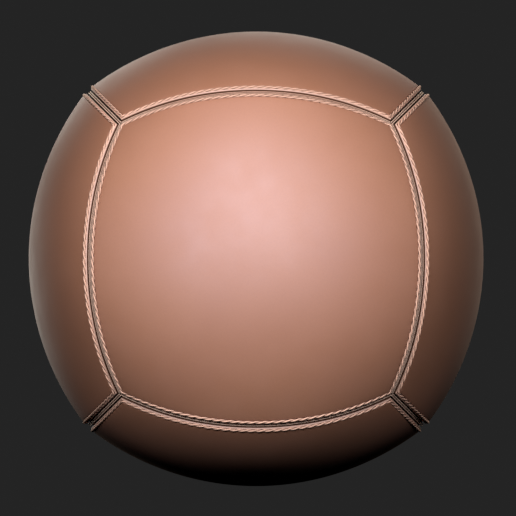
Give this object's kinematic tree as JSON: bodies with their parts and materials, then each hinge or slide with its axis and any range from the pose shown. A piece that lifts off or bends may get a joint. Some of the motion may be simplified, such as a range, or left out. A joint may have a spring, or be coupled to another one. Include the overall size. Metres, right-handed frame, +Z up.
{
  "type": "medicine ball",
  "caption": "Stuffed leather medicine ball of square crowned panels, with welted seams and a twisted cord stitched round each panel.",
  "frame": {"origin": "centre of the ball", "axes": "+Z up, away from the panel that the ball rests on; front panel towards -Y; the six panels face along the axes"},
  "size_m": [0.28, 0.28, 0.28],
  "materials": {
    "panel_leather": "smooth terracotta tan leather, satin, thick cowhide",
    "stitching_cord": "waxed twisted cord, light pinkish tan",
    "welt_leather": "undyed greyish tan leather strip with burnished lips",
    "patch_leather": "thin rough leather",
    "lining_canvas": "plain woven unbleached canvas",
    "tape_cotton": "twill woven cotton tape",
    "wadding_felt": "needled wool felt wadding",
    "bag_cotton": "plain woven cotton",
    "bag_cord": "twisted hemp cord",
    "filling_fibre": "packed mixed textile fibre"
  },
  "bodies": {
    "root": {"corner_patches": "patch_leather", "edge_stitching_back": "stitching_cord", "edge_stitching_bottom": "stitching_cord", "edge_stitching_front": "stitching_cord", "edge_stitching_left": "stitching_cord", "edge_stitching_right": "stitching_cord", "edge_stitching_top": "stitching_cord", "inner_bag_cord": "bag_cord", "inner_bag_lower": "bag_cotton", "inner_bag_upper": "bag_cotton", "leather_panel_back": "panel_leather", "leather_panel_bottom": "panel_leather", "leather_panel_front": "panel_leather", "leather_panel_left": "panel_leather", "leather_panel_right": "panel_leather", "leather_panel_top": "panel_leather", "panel_lining_back": "lining_canvas", "panel_lining_bottom": "lining_canvas", "panel_lining_front": "lining_canvas", "panel_lining_left": "lining_canvas", "panel_lining_right": "lining_canvas", "panel_lining_top": "lining_canvas", "seam_tape_back_bottom": "tape_cotton", "seam_tape_back_left": "tape_cotton", "seam_tape_back_right": "tape_cotton", "seam_tape_back_top": "tape_cotton", "seam_tape_front_bottom": "tape_cotton", "seam_tape_front_left": "tape_cotton", "seam_tape_front_right": "tape_cotton", "seam_tape_front_top": "tape_cotton", "seam_tape_left_bottom": "tape_cotton", "seam_tape_left_top": "tape_cotton", "seam_tape_right_bottom": "tape_cotton", "seam_tape_right_top": "tape_cotton", "seam_welt_back_bottom": "welt_leather", "seam_welt_back_left": "welt_leather", "seam_welt_back_right": "welt_leather", "seam_welt_back_top": "welt_leather", "seam_welt_front_bottom": "welt_leather", "seam_welt_front_left": "welt_leather", "seam_welt_front_right": "welt_leather", "seam_welt_front_top": "welt_leather", "seam_welt_left_bottom": "welt_leather", "seam_welt_left_top": "welt_leather", "seam_welt_right_bottom": "welt_leather", "seam_welt_right_top": "welt_leather", "textile_filling": "filling_fibre", "wadding_pad_back": "wadding_felt", "wadding_pad_bottom": "wadding_felt", "wadding_pad_front": "wadding_felt", "wadding_pad_left": "wadding_felt", "wadding_pad_right": "wadding_felt", "wadding_pad_top": "wadding_felt"}
  },
  "joints": []
}
